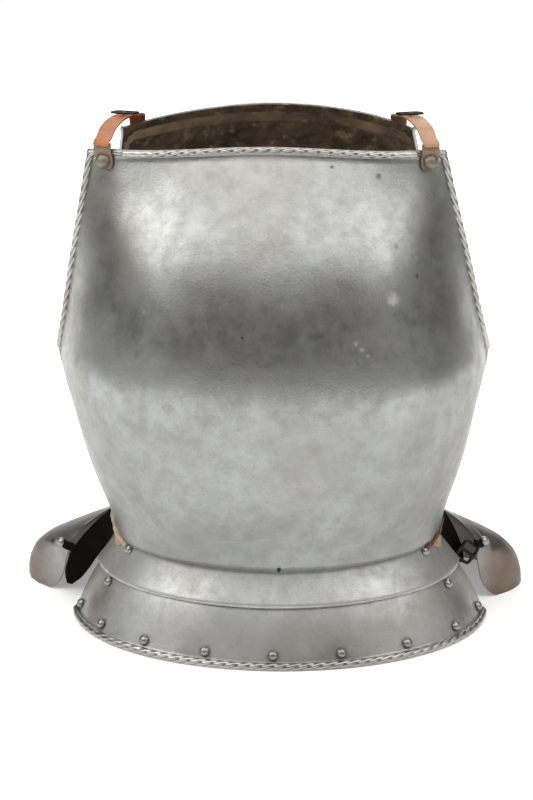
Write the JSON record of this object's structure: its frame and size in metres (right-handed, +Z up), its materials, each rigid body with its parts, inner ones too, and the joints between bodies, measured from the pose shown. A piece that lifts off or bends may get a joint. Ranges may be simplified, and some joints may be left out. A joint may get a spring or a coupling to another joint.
{
  "type": "cuirass",
  "caption": "Steel cuirass: globose breastplate and backplate with roped borders, flared front and rear skirts, leather shoulder straps and side straps.",
  "frame": {"origin": "middle of the footprint, on the floor the hems stand on", "axes": "+Z up, the breast faces -Y, +X is the right side as seen from the front"},
  "size_m": [0.4904, 0.339, 0.485],
  "materials": {
    "steel": "worn, mottled grey steel",
    "iron": "blackened iron",
    "tan_leather": "worn tan leather",
    "strap_leather": "oiled red-brown leather",
    "dark_leather": "dark brown leather"
  },
  "bodies": {
    "root": {"backplate": "steel", "breastplate": "steel", "hasp_left": "dark_leather", "hasp_right": "dark_leather", "hem_rivet_1": "steel", "hem_rivet_2": "steel", "hem_rivet_3": "steel", "hem_rivet_4": "steel", "hem_rivet_5": "steel", "hem_rivet_6": "steel", "hem_rivet_7": "steel", "hem_rivet_8": "steel", "hem_rivet_9": "steel", "lower_skirt_plate": "steel", "lower_skirt_rivet_left": "steel", "lower_skirt_rivet_right": "steel", "rear_rivet_left": "steel", "rear_rivet_right": "steel", "rear_skirt": "steel", "shoulder_buckle_left": "iron", "shoulder_buckle_right": "iron", "shoulder_rivet_left": "steel", "shoulder_rivet_right": "steel", "shoulder_strap_left": "strap_leather", "shoulder_strap_right": "strap_leather", "shoulder_tab_left": "tan_leather", "shoulder_tab_right": "tan_leather", "shoulder_tab_rivet_left": "steel", "shoulder_tab_rivet_right": "steel", "side_buckle_right": "iron", "side_strap_left": "dark_leather", "side_strap_right": "dark_leather", "upper_skirt_plate": "steel", "upper_skirt_rivet_left": "steel", "upper_skirt_rivet_right": "steel", "waist_band_left": "tan_leather", "waist_band_right": "tan_leather", "waist_rivet": "iron"}
  },
  "joints": []
}
